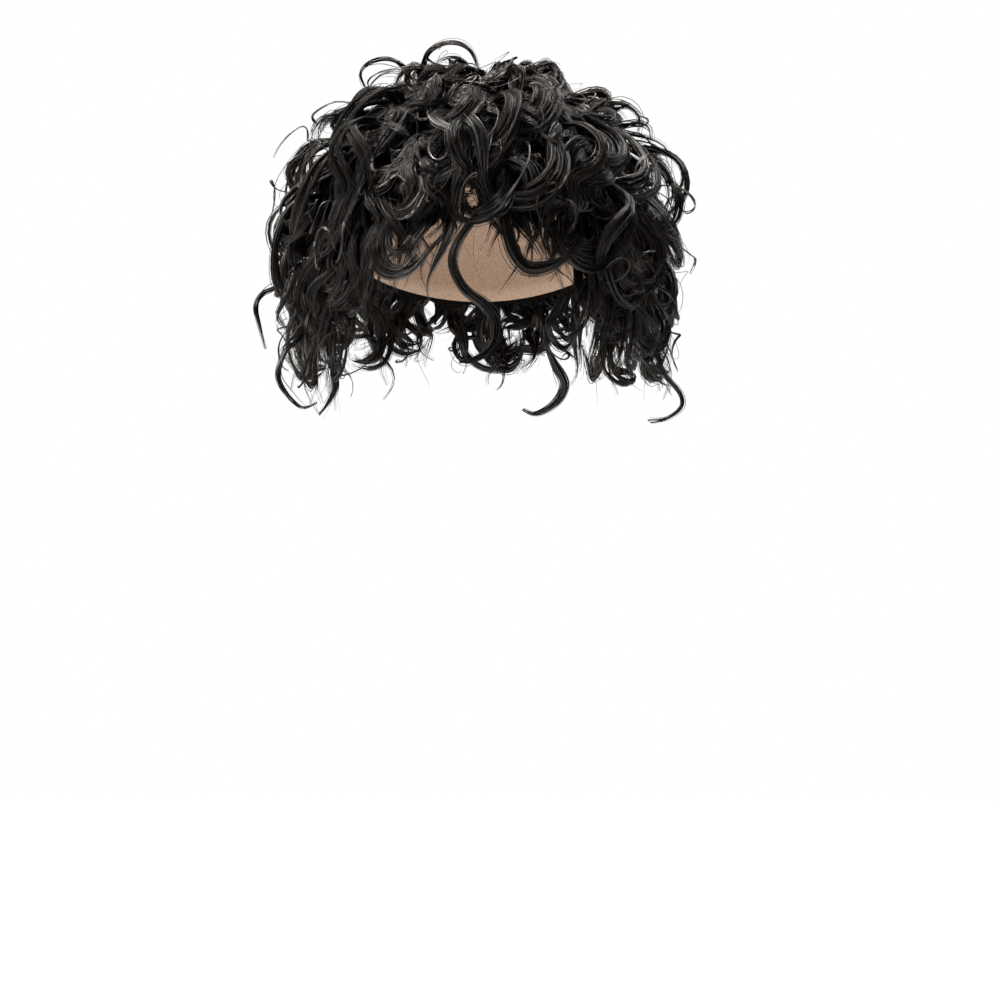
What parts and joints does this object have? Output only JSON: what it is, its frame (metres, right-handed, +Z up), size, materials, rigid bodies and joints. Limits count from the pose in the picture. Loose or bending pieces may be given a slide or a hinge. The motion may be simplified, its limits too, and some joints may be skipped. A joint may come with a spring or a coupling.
{
  "type": "curly toupee hairpiece",
  "caption": "Short curly hairpiece on a thin domed base that sits on top of a head, with hair curling over the forehead, ears and nape.",
  "frame": {"origin": "the point of the base's inner side that rests on the very top of the head", "axes": "+Z up; the wearer faces -Y and the wearer's left is at +X"},
  "size_m": [0.2101, 0.2481, 0.1841],
  "materials": {
    "base": "thin skin-toned lace, matt, with dark knots where the hair is tied",
    "hair": "curled hair, brown black, in glossy strands with soft grey highlights"
  },
  "bodies": {
    "root": {"base_cap": "base", "crown_hair": "hair", "front_hair": "hair", "left_hair": "hair", "right_hair": "hair", "back_hair": "hair", "fringe_lock_centre": "hair", "fringe_lock_hook": "hair", "brow_lock": "hair", "jaw_loop_left": "hair", "ear_hook_right": "hair", "jaw_loop_right": "hair", "jaw_tip_right": "hair", "top_loop": "hair", "crown_loop": "hair", "nape_loop": "hair"}
  },
  "joints": []
}
